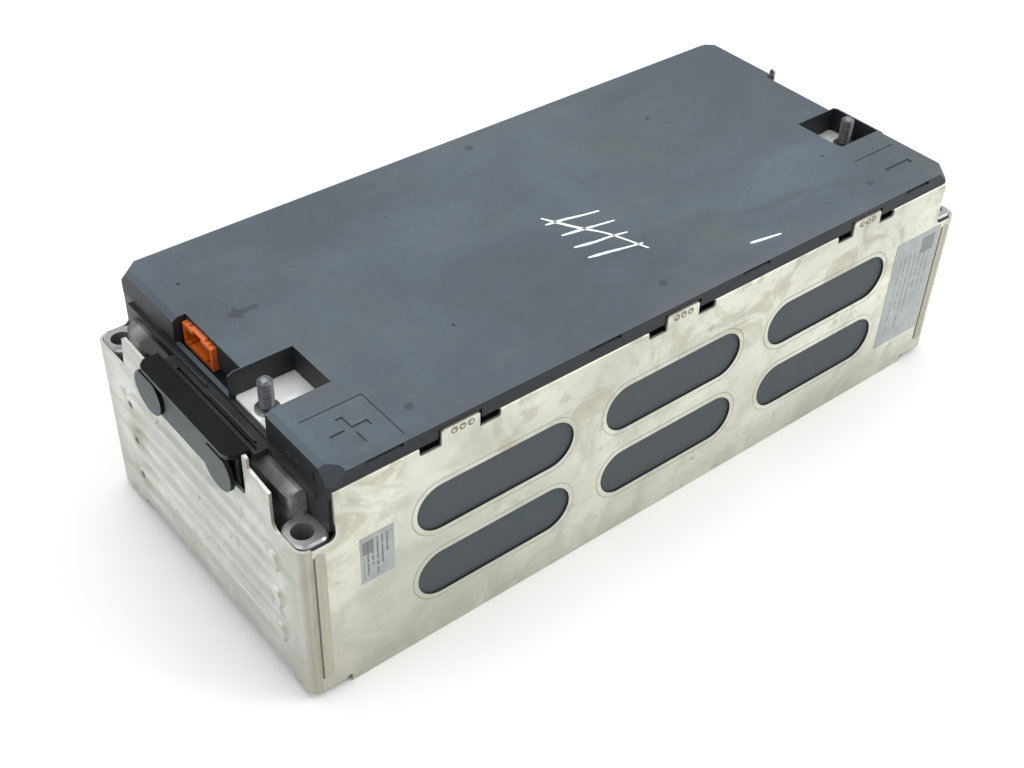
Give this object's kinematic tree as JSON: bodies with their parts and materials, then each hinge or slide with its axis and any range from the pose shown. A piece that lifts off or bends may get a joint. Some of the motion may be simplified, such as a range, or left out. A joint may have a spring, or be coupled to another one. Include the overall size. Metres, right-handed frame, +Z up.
{
  "type": "ev battery module",
  "caption": "sealed lithium pouch-cell battery module in an aluminium case, with a snapped-on plastic cover, a threaded stud terminal at each end and a sensing connector",
  "frame": {"origin": "centre of the underside of the base plate, on the plane the module rests on", "axes": "+X along the module from the positive end (sensing connector and clip) to the negative end, +Y from the labelled side to the plain side, +Z up through the cover"},
  "size_m": [0.3598, 0.1517, 0.111],
  "materials": {
    "plate_metal": "rolled aluminium plate, dull, stained by handling",
    "sheet_metal": "pressed aluminium sheet, dull mill finish",
    "cast_aluminium": "die casting, fine grain",
    "gap_filler": "soft grey heat-conducting sheet",
    "pouch_foil": "laminated foil pouch",
    "foam": "dark compression foam",
    "insulation_pad": "dark blue-grey insulating sheet",
    "frame_plastic": "black moulded plastic",
    "plated_copper": "nickel-plated copper",
    "stud_steel": "zinc-plated steel",
    "cover_plastic": "black moulded plastic, fine grain, dusty",
    "board": "green circuit board",
    "orange_plastic": "orange moulded plastic",
    "clip_plastic": "black moulded plastic",
    "label_paper": "white film label"
  },
  "bodies": {
    "root": {"bottom_plate": "plate_metal", "side_plate_right": "plate_metal", "side_plate_left": "plate_metal", "end_sheet_front": "sheet_metal", "end_sheet_rear": "sheet_metal", "end_block_front": "cast_aluminium", "end_block_rear": "cast_aluminium", "thermal_pad": "gap_filler", "cell_01": "pouch_foil", "cell_02": "pouch_foil", "cell_03": "pouch_foil", "cell_04": "pouch_foil", "cell_05": "pouch_foil", "cell_06": "pouch_foil", "cell_07": "pouch_foil", "cell_08": "pouch_foil", "cell_09": "pouch_foil", "cell_10": "pouch_foil", "cell_11": "pouch_foil", "cell_12": "pouch_foil", "spacer_pad_01": "foam", "spacer_pad_02": "foam", "spacer_pad_03": "foam", "spacer_pad_04": "foam", "spacer_pad_05": "foam", "spacer_pad_06": "foam", "spacer_pad_07": "foam", "spacer_pad_08": "foam", "spacer_pad_09": "foam", "spacer_pad_10": "foam", "spacer_pad_11": "foam", "side_pad_right": "insulation_pad", "side_pad_left": "insulation_pad", "busbar_frame_front": "frame_plastic", "busbar_frame_rear": "frame_plastic", "busbar_tray_front": "frame_plastic", "busbar_tray_rear": "frame_plastic", "terminal_plate_positive": "plated_copper", "terminal_plate_negative": "plated_copper", "busbar_front": "plated_copper", "busbar_rear": "plated_copper", "terminal_stud_positive": "stud_steel", "terminal_stud_negative": "stud_steel", "top_cover": "cover_plastic", "sensing_board": "board", "sensing_connector": "orange_plastic", "end_clip": "clip_plastic", "label_small": "label_paper", "label_large": "label_paper"}
  },
  "joints": []
}
